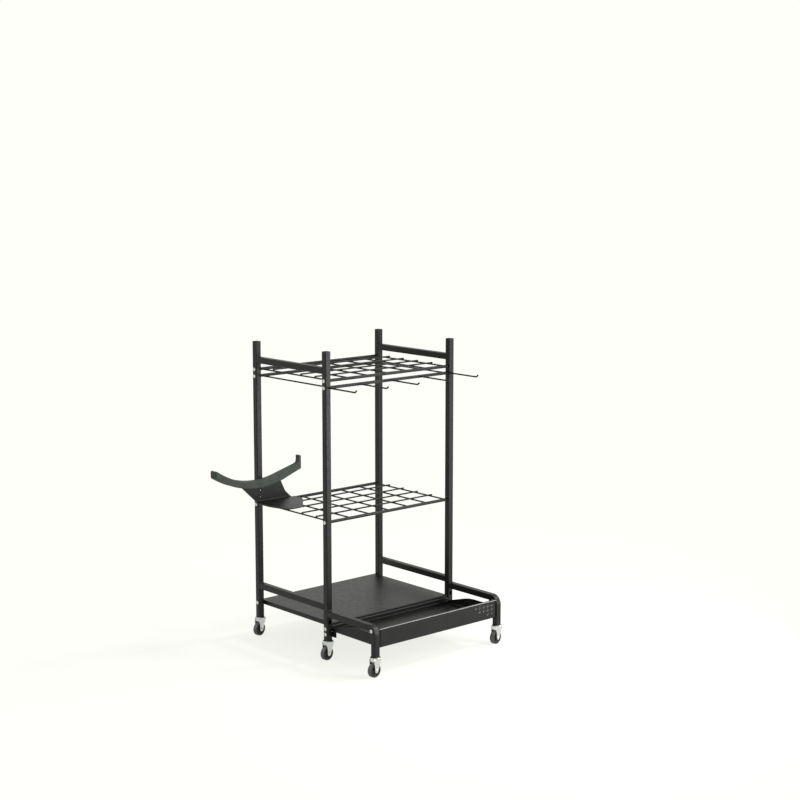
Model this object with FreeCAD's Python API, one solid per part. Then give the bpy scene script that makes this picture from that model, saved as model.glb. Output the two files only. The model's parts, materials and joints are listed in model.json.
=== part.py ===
import FreeCAD, Part
import math
import os
from FreeCAD import Rotation, Vector

# Freestanding tall rack on six swivel casters.
# Two welded side frames of square tube are joined by screwed cross rails. Two wire
# lattices keep what stands in the rack upright, over a shelf and a low tray. A row of
# prongs stands out at the front, and a bent sheet bracket at the left ends in a cradle.
# Millimetres, +X to the right, +Y to the back, +Z up. While the pieces are made, the
# front left leg's axis meets the floor at the origin; at the end the whole rack is
# moved so that the origin lies under the middle of its bounding box.

# Overall sizes, over the outer faces of the tubes
overall_width = 429.0
rear_bay_depth = 299.0
front_bay_depth = 198.1
overall_height = 779.0

# Square frame tube and its plastic cap
tube = 16.0
tube_wall = 1.2
tube_corner = 2.0
end_plate = 2.4
cap_thickness = 2.0
cap_bevel = 0.8
cap_skirt = 12.0
insert_clearance = 0.05

# The frame's bars and rails, at their middles: the high ones hang down from the top of
# the posts, the lower rail from the upper rail, and the rest stand above the floor
top_bar_drop = 48.0
upper_rail_drop = 73.0
lower_rail_drop = 17.5
middle_rail_height = 351.8
lower_bar_height = 135.0
side_tube_height = 120.0
crossbar_height = 80.0
leg_bend_radius = 17.0

# Open slot in the front face of each middle post, under the side tube
slot_width = 7.0
slot_height = 10.0
slot_drop = 9.0

# Round rails, lattice wires and prongs
rail_diameter = 8.0
wire_diameter = 4.0
weld_bite = 0.1
wire_side_gap = 1.5
wire_overhang = 2.0
column_count = 6
row_count = 5
prong_count = 5
prong_diameter = 4.0
prong_inset = 3.9
prong_reach = 104.0
prong_bend_radius = 8.0
prong_bend_angle = 45.0
prong_tip_length = 3.0

# Sheet metal
sheet = 1.2
shelf_top = 94.0
shelf_side_depth = 11.0
shelf_fold_radius = 2.5
shelf_front_lap = 12.0
shelf_gap = 0.4
tray_floor_top = 72.0
tray_front_top = 118.0
tray_side_top = 102.0
tray_side_level = 95.0
tray_side_round = 150.0
tray_rear_top = 79.0
tray_rear_lip = 4.0
tray_fold_radius = 6.0
tray_lip_depth = 7.0
tray_shoulder_depth = 22.0
tray_shoulder_run = 12.0
tray_ear_drop = 12.0
tray_ear_root = 14.0
tray_ear_overlap = 4.0
tray_ear_reach = 6.0
hole_diameter = 4.5
hole_pitch_across = 14.3
hole_pitch_down = 10.7
holes_per_row = (5, 4, 2)
first_hole_side_gap = 17.4
first_hole_top_gap = 10.0

# Side bracket, one bent sheet: a tongue on the middle lattice, a leaning neck and a round
# cradle that runs out into a straight arm with a horn, with a soft pad on the cradle's
# front. Offsets run from the rear left post's axis, rises from the tongue's underside.
bracket_sheet = 3.0
bracket_bend_inner = 3.0
bracket_base_left = -19.0
bracket_base_right = 106.0
bracket_base_depth = 122.0
bracket_left_side = 57.0
bracket_right_side = 38.0
bracket_tip_left = -2.0
bracket_tip_right = 44.0
bracket_side_round = 60.0
bracket_tip_left_round = 20.0
bracket_tip_right_round = 28.0
bracket_right_round = 40.0
neck_foot_left = -12.0
neck_foot_right = 101.0
neck_waist_right = 79.0
neck_waist_rise = 20.0
neck_waist_round = 30.0
neck_head_left = -66.0
neck_head_left_rise = 51.0
neck_head_right = 60.0
neck_head_right_rise = 60.0
cradle_middle_offset = -20.0
cradle_low_rise = 44.3
cradle_low_radius = 245.0
cradle_width = 18.0
cradle_arm_turn = 15.4
cradle_left = -155.5
cradle_right = 124.5
cradle_horn_width = 8.0
cradle_horn_rise = 111.3
cradle_end_round = 3.5
cradle_throat_round = 10.0
pad_depth = 22.0
pad_horn_depth = 10.0
pad_bevel = 1.2
bracket_screw_rises = (15.3, 31.3)

# Button-head screws
screw_diameter = 5.0
screw_clearance = 0.05
screw_head_diameter = 9.5
screw_head_height = 2.8
screw_head_rim = 0.7
screw_head_shoulder = 2.1
screw_key_width = 3.0
screw_key_depth = 1.6
screw_grip = 10.0
sheet_grip = 3.0
shelf_screw_drop = 5.5
tray_ear_screw_drop = 6.0
leg_screw_height = 114.0
leg_screw_setback = 5.7

# Casters
wheel_diameter = 35.0
wheel_width = 13.0
tread_thickness = 4.0
tread_bevel = 1.6
hub_recess_depth = 2.5
hub_recess_inner = 12.0
hub_recess_outer = 24.0
hub_recess_slope = 1.0
hub_boss_proud = 1.0
hub_side_gap = 0.4
fork_sheet = 1.5
fork_top_length = 24.0
fork_foot_radius = 5.5
fork_foot_round = 5.4
fork_bend_radius = 3.0
fork_headroom = 11.2
fork_trail = 4.5
axle_diameter = 5.0
axle_head_diameter = 8.0
axle_head_height = 1.2
axle_head_bevel = 0.8
running_clearance = 0.05
swivel_gap = 0.3
raceway_diameter = 27.0
raceway_thickness = 1.5
raceway_bevel = 0.9
kingpin_diameter = 6.0
kingpin_head_diameter = 10.0
kingpin_head_height = 1.4
stem_diameter = 8.0
stem_length = 12.0
socket_end_gap = 0.6
socket_corner = 1.0

# A cutting shape runs past what it cuts by this much, and an edge nearer than this to a
# face lies on it
past = 1.0
near = 0.01

# Places worked out from the driving sizes
half = tube / 2.0
left = 0.0
right = overall_width - tube
front = 0.0
middle = front_bay_depth - tube
rear = middle + rear_bay_depth - tube
inner_left = left + half
inner_right = right - half
axle_height = wheel_diameter / 2.0
fork_top = wheel_diameter + fork_headroom + fork_sheet
raceway_bottom = fork_top + swivel_gap
leg_bottom = raceway_bottom + raceway_thickness
post_top = overall_height - cap_thickness
top_bar_height = overall_height - top_bar_drop
upper_rail_height = overall_height - upper_rail_drop
lower_rail_height = upper_rail_height - lower_rail_drop
slot_top = side_tube_height - half - slot_drop
wire_lift = wire_diameter - weld_bite
first_column = inner_left + wire_side_gap + wire_diameter / 2.0
last_column = inner_right - wire_side_gap - wire_diameter / 2.0
column_pitch = (last_column - first_column) / column_count
row_pitch = (rear - middle) / row_count
middle_lattice_top = middle_rail_height + wire_lift + wire_diameter / 2.0
crossbar_top = crossbar_height + half
crossbar_low = crossbar_height - half
hub_width = wheel_width + 2 * hub_boss_proud
fork_outside = hub_width / 2.0 + hub_side_gap + fork_sheet
cradle_low = middle_lattice_top + cradle_low_rise
cradle_middle = cradle_low + cradle_low_radius
cradle_horn_top = middle_lattice_top + cradle_horn_rise
bracket_screw_heights = [middle_lattice_top + rise for rise in bracket_screw_rises]

# Name, leg axis and wheel heading at rest of each caster, in degrees from +Y to +X
casters = (
    ("rear_left", left, rear, -12.0),
    ("rear_right", right, rear, -3.0),
    ("middle_left", left, middle, -7.0),
    ("middle_right", right, middle, -14.0),
    ("front_left", left, front, -5.0),
    ("front_right", right, front, -9.0),
)


def box(x_range, y_range, z_range):
    """A box between two values along each axis."""
    size = [high - low for low, high in (x_range, y_range, z_range)]
    return Part.makeBox(*size, Vector(x_range[0], y_range[0], z_range[0]))


def rod(start, end, diameter):
    """A round bar from one point to another."""
    run = Vector(*end) - Vector(*start)
    return Part.makeCylinder(diameter / 2.0, run.Length, Vector(*start), run)


def rounded_square(size, radius):
    """A closed outline in the XY plane, centred on the origin."""
    reach = size / 2.0
    flat = reach - radius
    slant = radius * math.sqrt(0.5)
    edges = []
    for turn in range(4):
        line = Part.LineSegment(Vector(reach, -flat, 0), Vector(reach, flat, 0))
        bulge = Vector(flat + slant, flat + slant, 0)
        corner = Part.Arc(Vector(reach, flat, 0), bulge, Vector(flat, reach, 0))
        for curve in (line, corner):
            edge = curve.toShape()
            edge.rotate(Vector(0, 0, 0), Vector(0, 0, 1), 90 * turn)
            edges.append(edge)
    return Part.Wire(Part.__sortEdges__(edges))


def outline_face(points, radii, to_space):
    """A face through plane points, each corner rounded by its radius (0 keeps it sharp).

    A round never takes more of a side than the next corner leaves it.
    """
    count = len(points)
    corners = [Vector(*point, 0) for point in points]
    ends, edges = [], []

    def room(index, other):
        side = (corners[other] - corners[index]).Length
        return side / 2.0 if radii[other] else side

    for index in range(count):
        here, radius = corners[index], radii[index]
        before, after = (index - 1) % count, (index + 1) % count
        if not radius:
            ends.append((here, here))
            continue
        back = (corners[before] - here).normalize()
        ahead = (corners[after] - here).normalize()
        half_angle = back.getAngle(ahead) / 2.0
        trim = min(radius / math.tan(half_angle), room(index, before), room(index, after))
        radius = trim * math.tan(half_angle)
        crown = here + (back + ahead).normalize() * (radius / math.sin(half_angle) - radius)
        enter, leave = here + back * trim, here + ahead * trim
        ends.append((enter, leave))
        edges.append(Part.Arc(*[Vector(*to_space(p.x, p.y)) for p in (enter, crown, leave)]).toShape())
    for index in range(count):
        leave, enter = ends[index][1], ends[(index + 1) % count][0]
        if (enter - leave).Length > 1e-6:
            line = [Vector(*to_space(p.x, p.y)) for p in (leave, enter)]
            edges.append(Part.LineSegment(*line).toShape())
    return Part.Face(Part.Wire(Part.__sortEdges__(edges)))


def sweep(path_edges, profile):
    """A closed outline carried along a path that starts at its plane."""
    return Part.Wire(path_edges).makePipeShell([profile], True, False)


def square_tube(start, end):
    """A straight length of frame tube, open at both ends, along one axis."""
    run = Vector(*end) - Vector(*start)
    turn = Rotation(Vector(0, 0, 1), run)
    solids = []
    for inset in (0.0, tube_wall):
        outline = rounded_square(tube - 2 * inset, tube_corner - inset)
        bar = Part.Face(outline).extrude(Vector(0, 0, run.Length))
        bar.Placement = FreeCAD.Placement(Vector(*start), turn)
        solids.append(bar)
    return solids[0].cut(solids[1])


def screw(point, direction, grip):
    """A button-head screw whose head sits on a face at the point and points along the direction."""
    reach = screw_head_diameter / 2.0
    shank = screw_diameter / 2.0
    crown = screw_head_height
    corners = [
        (0, -grip),
        (shank, -grip),
        (shank, 0),
        (reach, 0),
        (reach, screw_head_rim),
        ((reach + screw_key_width) / 2.0, screw_head_shoulder),
        (screw_key_width, crown),
        (0, crown),
        (0, -grip),
    ]
    profile = Part.makePolygon([Vector(radius, 0, level) for radius, level in corners])
    body = Part.Face(profile).revolve(Vector(0, 0, 0), Vector(0, 0, 1), 360)
    corners = []
    for index in range(7):
        angle = math.radians(60 * index)
        radius = screw_key_width / math.sqrt(3)
        corners.append(Vector(radius * math.cos(angle), radius * math.sin(angle), crown - screw_key_depth))
    key = Part.Face(Part.makePolygon(corners)).extrude(Vector(0, 0, screw_key_depth + past))
    body = body.cut(key)
    body.Placement = FreeCAD.Placement(Vector(*point), Rotation(Vector(0, 0, 1), Vector(*direction)))
    return body


def side_sign(x):
    """-1 on the left side frame, +1 on the right one: the way out of the rack."""
    return -1 if x == left else 1


def side_screw(x, y, z, length):
    """A screw through the outer side face of a post or leg, pointing inwards."""
    sign = side_sign(x)
    return screw((x + sign * half, y, z), (sign, 0, 0), length)


def side_hole(x, y, z, length):
    """The clearance hole for a side screw."""
    sign = side_sign(x)
    start = (x + sign * (half + past), y, z)
    end = (x + sign * (half - length - past), y, z)
    return rod(start, end, screw_diameter + 2 * screw_clearance)


# Every side screw: post or leg, height, what it holds and how far it reaches in
rail_places = (
    (middle, upper_rail_height),
    (rear, upper_rail_height),
    (middle, lower_rail_height),
    (rear, lower_rail_height),
    (middle, middle_rail_height),
    (rear, middle_rail_height),
)
rail_screw_length = tube + screw_grip
shelf_screw_height = shelf_top - shelf_screw_drop
tray_ear_screw_height = tray_floor_top - tray_ear_screw_drop
leg_screw_y = front + leg_screw_setback
base_places = (
    (middle, crossbar_height, rail_screw_length),
    (middle, tray_ear_screw_height, tube + sheet_grip),
    (rear, shelf_screw_height, tube + sheet_grip),
    (leg_screw_y, leg_screw_height, tube + sheet_grip),
)


def post(x, y, through_heights=()):
    """A post of the side frame with its screw holes."""
    shape = square_tube((x, y, leg_bottom), (x, y, post_top))
    for hole_y, z in rail_places:
        if hole_y == y:
            shape = shape.cut(side_hole(x, y, z, tube))
    for hole_y, z, length in base_places:
        if hole_y == y:
            shape = shape.cut(side_hole(x, y, z, tube))
    for z in through_heights:
        hole = rod((x, y - half - past, z), (x, y + half + past, z), screw_diameter + 2 * screw_clearance)
        shape = shape.cut(hole)
    return shape


def middle_post(x):
    """A middle post, with an open slot in its front face under the side tube."""
    x_range = (x - slot_width / 2.0, x + slot_width / 2.0)
    slot = box(x_range, (middle - half - past, middle), (slot_top - slot_height, slot_top))
    return post(x, middle).cut(slot)


def post_cap(x, y):
    """A plastic plug: a square head over the tube's end and a skirt inside it."""
    head = Part.Face(rounded_square(tube, tube_corner)).extrude(Vector(0, 0, cap_thickness))
    rim = [edge for edge in head.Edges if edge.BoundBox.ZMin > cap_thickness - near]
    head = head.makeChamfer(cap_bevel, rim)
    plug_size = tube - 2 * (tube_wall + insert_clearance)
    skirt = Part.Face(rounded_square(plug_size, socket_corner)).extrude(Vector(0, 0, -cap_skirt))
    cap = head.fuse(skirt).removeSplitter()
    cap.translate(Vector(x, y, post_top))
    return cap


def front_leg(x):
    """One bent tube: forward from the middle post's front face, then down to the caster."""
    bend_y = front + leg_bend_radius
    bend_z = side_tube_height - leg_bend_radius
    slant = leg_bend_radius * math.sqrt(0.5)
    back_end = Vector(x, middle - half, side_tube_height)
    bend_top = Vector(x, bend_y, side_tube_height)
    bend_mid = Vector(x, bend_y - slant, bend_z + slant)
    bend_low = Vector(x, front, bend_z)
    path = [
        Part.LineSegment(back_end, bend_top).toShape(),
        Part.Arc(bend_top, bend_mid, bend_low).toShape(),
        Part.LineSegment(bend_low, Vector(x, front, leg_bottom)).toShape(),
    ]
    solids = []
    for inset in (0.0, tube_wall):
        outline = rounded_square(tube - 2 * inset, tube_corner - inset)
        outline.Placement = FreeCAD.Placement(back_end, Rotation(Vector(0, 0, 1), Vector(0, -1, 0)))
        solids.append(sweep(path, outline))
    shape = solids[0].cut(solids[1])
    return shape.cut(side_hole(x, leg_screw_y, leg_screw_height, tube))


def round_rail(y, z):
    """A cross rail between the side frames, tapped at both ends for its screws."""
    shape = rod((inner_left, y, z), (inner_right, y, z), rail_diameter)
    for x in (left, right):
        shape = shape.cut(side_hole(x, y, z, rail_screw_length))
    return shape


def crossbar():
    """The square bar between the middle posts, closed by tapped end plates."""
    shape = square_tube((inner_left, middle, crossbar_height), (inner_right, middle, crossbar_height))
    for x in (left, right):
        sign = side_sign(x)
        face = x - sign * half
        plug = Part.Face(rounded_square(tube - 2 * tube_wall, tube_corner - tube_wall))
        plug = plug.extrude(Vector(0, 0, end_plate))
        turn = Rotation(Vector(0, 0, 1), Vector(-sign, 0, 0))
        plug.Placement = FreeCAD.Placement(Vector(face, middle, crossbar_height), turn)
        shape = shape.fuse(plug)
    for x in (left, right):
        shape = shape.cut(side_hole(x, middle, crossbar_height, rail_screw_length))
    return shape


def depth_wires(z):
    """The lattice's wires from front rail to rear rail, their ends coped to the rails."""
    rails = [rod((left, y, z), (right, y, z), rail_diameter) for y in (middle, rear)]
    wires = []
    for index in range(column_count + 1):
        x = first_column + column_pitch * index
        wires.append(rod((x, middle, z), (x, rear, z), wire_diameter).cut(rails))
    return Part.makeCompound(wires)


def cross_wires(z):
    """The lattice's wires across the rack, welded on top of the depth wires."""
    start = first_column - wire_overhang
    end = last_column + wire_overhang
    level = z + wire_lift
    wires = []
    for index in range(1, row_count):
        y = middle + row_pitch * index
        wires.append(rod((start, y, level), (end, y, level), wire_diameter))
    return Part.makeCompound(wires)


def lower_side_wires():
    """The two wires that close the sides of the top tier's lower frame."""
    z = lower_rail_height
    rails = [rod((left, y, z), (right, y, z), rail_diameter) for y in (middle, rear)]
    wires = []
    for x in (first_column, last_column):
        wires.append(rod((x, middle, z), (x, rear, z), wire_diameter).cut(rails))
    return Part.makeCompound(wires)


def prong(x, root_y):
    """A forward wire with an upturned round tip."""
    z = lower_rail_height
    turn = math.radians(prong_bend_angle)
    radius = prong_bend_radius
    tip_y = middle - half - prong_reach
    tip_run = radius * math.sin(turn) + prong_tip_length * math.cos(turn) + prong_diameter / 2.0
    bend_y = tip_y + tip_run

    def on_bend(angle):
        return Vector(x, bend_y - radius * math.sin(angle), z + radius * (1 - math.cos(angle)))

    bend_end = on_bend(turn)
    tip = bend_end + Vector(0, -math.cos(turn), math.sin(turn)) * prong_tip_length
    path = [
        Part.LineSegment(Vector(x, root_y, z), Vector(x, bend_y, z)).toShape(),
        Part.Arc(Vector(x, bend_y, z), on_bend(turn / 2.0), bend_end).toShape(),
        Part.LineSegment(bend_end, tip).toShape(),
    ]
    ring = Part.Wire(Part.makeCircle(prong_diameter / 2.0, Vector(x, root_y, z), Vector(0, -1, 0)))
    shape = sweep(path, ring)
    return shape.fuse(Part.makeSphere(prong_diameter / 2.0, tip)).removeSplitter()


def hook_prongs():
    """The outer two stand on the posts' front faces, the inner ones on the lower rail."""
    z = lower_rail_height
    rail = rod((left, middle, z), (right, middle, z), rail_diameter)
    first = left + prong_inset
    pitch = (right - left - 2 * prong_inset) / (prong_count - 1)
    prongs = []
    for index in range(prong_count):
        outer = index in (0, prong_count - 1)
        shape = prong(first + pitch * index, middle - half if outer else middle)
        prongs.append(shape if outer else shape.cut(rail))
    return Part.makeCompound(prongs)


def folded_pan(x_range, y_range, z_range, radius, edge_test):
    """A solid block with the edges rounded that a sheet pan is folded along."""
    block = box(x_range, y_range, z_range)
    return block.makeFillet(radius, [edge for edge in block.Edges if edge_test(edge.BoundBox)])


def rear_shelf():
    """A plate with turned-down edges; its front edge stands on the crossbar."""
    front_edge = middle + half - shelf_front_lap
    back_edge = rear + half
    low = shelf_top - shelf_side_depth
    solids = []
    for inset in (0.0, sheet):
        x_range = (inner_left + inset, inner_right - inset)
        y_range = (front_edge + inset, back_edge - inset)
        z_range = (low - inset, shelf_top - inset)
        top = shelf_top - inset
        radius = shelf_fold_radius - inset
        solids.append(folded_pan(x_range, y_range, z_range, radius, lambda b: b.ZMin > top - near))
    shape = solids[0].cut(solids[1])
    over_bar = box((left, right), (front_edge - past, middle + half + shelf_gap), (low - past, crossbar_top))
    shape = shape.cut(over_bar)
    for x in (left, right):
        shape = shape.cut(side_hole(x, rear, shelf_screw_height, tube + sheet_grip))
    return shape


def front_tray():
    """The low tray: a pan with a high perforated front that has a return lip, raised ears for
    the leg screws, sides that fall to a low lipped rear wall, and rear ears under the crossbar."""
    floor_low = tray_floor_top - sheet
    front_face = front - half + sheet
    back_end = middle - half - shelf_gap
    solids = []
    for inset in (0.0, sheet):
        x_range = (inner_left + inset, inner_right - inset)
        y_range = (front_face + inset, back_end - inset)
        z_range = (floor_low + inset, tray_front_top + inset)
        x_low, y_low, z_low = x_range[0], y_range[0], z_range[0]
        x_high = x_range[1]

        def folded(b, x_low=x_low, x_high=x_high, y_low=y_low, z_low=z_low):
            on_bottom = b.ZMax < z_low + near
            on_front = b.YMax < y_low + near
            on_side = b.XMax < x_low + near or b.XMin > x_high - near
            return (on_bottom and (on_front or on_side)) or (on_front and on_side)

        solids.append(folded_pan(x_range, y_range, z_range, tray_fold_radius - inset, folded))
    shape = solids[0].cut(solids[1])
    # The sides drop behind the ears of the leg screws, run level and fall to the rear wall
    ear_end = front_face + tray_shoulder_depth
    profile = outline_face(
        [
            (ear_end, tray_front_top + past),
            (ear_end, tray_front_top),
            (ear_end + tray_shoulder_run, tray_side_top),
            (tray_side_level, tray_side_top),
            (back_end, tray_rear_top),
            (back_end + past, tray_rear_top),
            (back_end + past, tray_front_top + past),
        ],
        [0, 0, 0, tray_side_round, 0, 0, 0],
        lambda y, z: (left, y, z),
    )
    shape = shape.cut(profile.extrude(Vector(right - left, 0, 0)))
    # Return lips along the top edges of the front and the rear wall
    lips = (
        (front_face, front_face + tray_lip_depth, tray_front_top),
        (back_end - tray_rear_lip, back_end, tray_rear_top),
    )
    for low_y, high_y, top in lips:
        lip = box((inner_left + sheet, inner_right - sheet), (low_y, high_y), (top - sheet, top))
        shape = shape.fuse(lip)
    # Ears that run back from the sides, under the crossbar, to the middle posts' screws
    root_y = (back_end - tray_ear_root, back_end)
    root_z = (floor_low - tray_ear_drop, floor_low + tray_fold_radius + tray_ear_overlap)
    reach_y = (back_end - tray_ear_root, middle + tray_ear_reach)
    reach_z = (floor_low - tray_ear_drop, crossbar_low - shelf_gap)
    for x_range in ((inner_left, inner_left + sheet), (inner_right - sheet, inner_right)):
        shape = shape.fuse([box(x_range, root_y, root_z), box(x_range, reach_y, reach_z)])
    # Perforations beside the right leg, fewer in each lower row
    cutters = []
    for row, count in enumerate(holes_per_row):
        z = tray_front_top - first_hole_top_gap - hole_pitch_down * row
        for column in range(count):
            x = inner_right - first_hole_side_gap - hole_pitch_across * column
            cutters.append(rod((x, front_face - past, z), (x, front_face + 2 * sheet, z), hole_diameter))
    for x in (left, right):
        for y, z in ((leg_screw_y, leg_screw_height), (middle, tray_ear_screw_height)):
            cutters.append(side_hole(x, y, z, tube + sheet_grip))
    return shape.cut(cutters).removeSplitter()


def bracket_plan(z):
    """The bracket's base seen from above, in the plane at height z."""
    back = rear - half - bracket_sheet - bracket_bend_inner
    tip = rear - half - bracket_base_depth
    points = [
        (bracket_base_left, back),
        (bracket_base_left, back - bracket_left_side),
        (bracket_tip_left, tip),
        (bracket_tip_right, tip),
        (bracket_base_right, back - bracket_right_side),
        (bracket_base_right, back),
    ]
    radii = [0, bracket_side_round, bracket_tip_left_round, bracket_tip_right_round, bracket_right_round, 0]
    return outline_face(points, radii, lambda x, y: (x, y, z))


def neck_outline(y, foot):
    """The leaning neck seen from the front, from the tongue's underside into the cradle."""
    points = [
        (neck_foot_left, foot),
        (neck_foot_right, foot),
        (neck_waist_right, foot + neck_waist_rise),
        (neck_head_right, foot + neck_head_right_rise),
        (neck_head_left, foot + neck_head_left_rise),
    ]
    return outline_face(points, [0, 0, neck_waist_round, 0, 0], lambda x, z: (x, y, z))


def edges_across(shape, test):
    """The edges through the sheet's thickness whose elevation point passes the test."""
    found = []
    for edge in shape.Edges:
        b = edge.BoundBox
        if b.XLength < near and b.ZLength < near and test(b.XMin, b.ZMin):
            found.append(edge)
    return found


def cradle_curve(radius, y):
    """The cradle's curve at one radius, with the straight arm that leaves it at the right.

    It is given as edges from the left end to the arm's end, and its last point.
    """
    turn = math.radians(cradle_arm_turn)
    start = -math.asin((cradle_middle_offset - cradle_left) / radius)

    def on_curve(angle):
        x = left + cradle_middle_offset + radius * math.sin(angle)
        return Vector(x, y, cradle_middle - radius * math.cos(angle))

    leave = on_curve(turn)
    end = leave + Vector(1, 0, math.tan(turn)) * (left + cradle_right - leave.x)
    arc = Part.Arc(on_curve(start), on_curve((start + turn) / 2.0), leave)
    return [arc.toShape(), Part.LineSegment(leave, end).toShape()], on_curve(start), end


def cradle_band(y, thickness):
    """The cradle's band, of even width, with an upright left end and a horn at the right."""
    low_edges, low_start, low_end = cradle_curve(cradle_low_radius, y)
    high_edges, high_start, high_end = cradle_curve(cradle_low_radius - cradle_width, y)
    ends = ((low_start, high_start), (low_end, high_end))
    sides = [Part.LineSegment(*pair).toShape() for pair in ends]
    band = Part.Face(Part.Wire(Part.__sortEdges__(low_edges + high_edges + sides)))
    band = band.extrude(Vector(0, thickness, 0))
    horn_left = left + cradle_right - cradle_horn_width
    horn = box((horn_left, left + cradle_right), (y, y + thickness), (low_end.z + past, cradle_horn_top))
    band = band.fuse(horn).removeSplitter()
    # The free corners are rounded, and so is the throat at the horn's foot
    horn_foot = high_end.z - cradle_horn_width * math.tan(math.radians(cradle_arm_turn))

    def free_corner(x, z):
        return x < low_start.x + near or z > cradle_horn_top - near or abs(z - low_end.z) < near

    def throat(x, z):
        return abs(x - horn_left) < near and abs(z - horn_foot) < near

    band = band.makeFillet(cradle_end_round, edges_across(band, free_corner))
    return band.makeFillet(cradle_throat_round, edges_across(band, throat))


def tool_bracket():
    """One sheet: a tongue on the lattice, a bend, a leaning neck and the cradle."""
    back = rear - half
    neck_y = back - bracket_sheet
    bend_outer = bracket_bend_inner + bracket_sheet
    base_low = middle_lattice_top
    bend_end = base_low + bend_outer
    base = bracket_plan(base_low).extrude(Vector(0, 0, bracket_sheet))
    # The bend and the upright sheet, both cut to the neck's outline
    wide = (neck_head_left - past, neck_foot_right + past)
    axis = Vector(wide[0], back - bend_outer, bend_end)
    ring = Part.makeCylinder(bend_outer, wide[1] - wide[0], axis, Vector(1, 0, 0))
    ring = ring.cut(Part.makeCylinder(bracket_bend_inner, wide[1] - wide[0], axis, Vector(1, 0, 0)))
    bend = ring.common(box(wide, (back - bend_outer, back), (base_low, bend_end)))
    upright = box(wide, (neck_y, back), (bend_end, cradle_horn_top))
    neck = neck_outline(back - bend_outer, base_low).extrude(Vector(0, bend_outer, 0))
    neck = neck.common(bend.fuse(upright))
    shape = base.fuse([neck, cradle_band(neck_y, bracket_sheet)]).removeSplitter()
    for z in bracket_screw_heights:
        hole = rod((left, neck_y - past, z), (left, back + past, z), screw_diameter + 2 * screw_clearance)
        shape = shape.cut(hole)
    return shape


def cradle_pad():
    """The soft pad on the cradle's front, thinner along the arm and at the horn."""
    seat = rear - half - bracket_sheet
    front_face = seat - pad_depth
    pad = cradle_band(front_face, pad_depth)
    rim = [edge for edge in pad.Edges if edge.BoundBox.YMax < front_face + near]
    pad = pad.makeChamfer(pad_bevel, rim)
    arm_start = left + cradle_middle_offset + cradle_low_radius * math.sin(math.radians(cradle_arm_turn))
    corners = [
        (arm_start, front_face),
        (left + cradle_right - cradle_horn_width, seat - pad_horn_depth),
        (left + cradle_right + past, seat - pad_horn_depth),
        (left + cradle_right + past, front_face - past),
        (arm_start, front_face - past),
    ]
    cutter = outline_face(corners, [0] * len(corners), lambda x, y: (x, y, cradle_low))
    return pad.cut(cutter.extrude(Vector(0, 0, cradle_horn_top - cradle_low)))


def caster_stem(x, y):
    """Stem in the socket, raceway plate under the tube, and the kingpin below it."""
    parts = [
        rod((x, y, raceway_bottom), (x, y, leg_bottom), raceway_diameter),
        rod((x, y, leg_bottom), (x, y, leg_bottom + stem_length), stem_diameter),
    ]
    head_top = fork_top - fork_sheet - swivel_gap
    head_low = head_top - kingpin_head_height
    parts.append(rod((x, y, head_low), (x, y, raceway_bottom), kingpin_diameter))
    parts.append(rod((x, y, head_low), (x, y, head_top), kingpin_head_diameter))
    stem = parts[0].fuse(parts[1:]).removeSplitter()
    rim = []
    for edge in stem.Edges:
        b = edge.BoundBox
        if abs(b.ZMin - leg_bottom) < near and b.ZLength < near and b.XLength > stem_diameter + past:
            rim.append(edge)
    return stem.makeChamfer(raceway_bevel, rim)


def caster_socket(x, y):
    """The plastic plug in the tube's end that grips the stem."""
    size = tube - 2 * (tube_wall + insert_clearance)
    length = stem_length + socket_end_gap
    plug = Part.Face(rounded_square(size, socket_corner)).extrude(Vector(0, 0, length))
    bore = Part.makeCylinder(stem_diameter / 2.0 + insert_clearance, length)
    plug = plug.cut(bore)
    plug.translate(Vector(x, y, leg_bottom))
    return plug


def at_caster(shape, x, y, heading):
    """Turn a caster piece to its heading and set it under its leg."""
    shape.rotate(Vector(0, 0, 0), Vector(0, 0, 1), -heading)
    shape.translate(Vector(x, y, 0))
    return shape


def caster_fork():
    """An inverted U of sheet under a round top, tapering to the axle behind the kingpin."""
    reach = fork_top_length / 2.0
    slope_top = fork_top - fork_bend_radius
    side = outline_face(
        [
            (-reach, fork_top),
            (-reach, slope_top),
            (-fork_trail - fork_foot_radius, axle_height),
            (-fork_trail - fork_foot_radius, axle_height - fork_foot_radius),
            (-fork_trail + fork_foot_radius, axle_height - fork_foot_radius),
            (-fork_trail + fork_foot_radius, axle_height),
            (reach, slope_top),
            (reach, fork_top),
        ],
        [0, 0, 0, fork_foot_round, fork_foot_round, 0, 0, 0],
        lambda x, z: (x, -fork_outside, z),
    )
    cheeks = side.extrude(Vector(0, 2 * fork_outside, 0))
    solids = []
    for inset in (0.0, fork_sheet):
        x_range = (-reach - past, reach + past)
        y_range = (-fork_outside + inset, fork_outside - inset)
        z_range = (-1, fork_top - inset)
        top = fork_top - inset
        radius = fork_bend_radius - inset

        def along_top(b, top=top):
            return b.ZMin > top - near and b.YLength < near

        solids.append(folded_pan(x_range, y_range, z_range, radius, along_top))
    channel = solids[0].cut(solids[1])
    shape = cheeks.common(channel)
    shape = shape.fuse(rod((0, 0, fork_top - fork_sheet), (0, 0, fork_top), raceway_diameter))
    shape = shape.cut(rod((0, 0, 0), (0, 0, fork_top + past), kingpin_diameter + 2 * running_clearance))
    across = fork_outside + past
    pin = rod((-fork_trail, -across, axle_height), (-fork_trail, across, axle_height), axle_diameter)
    return shape.cut(pin).removeSplitter()


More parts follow.
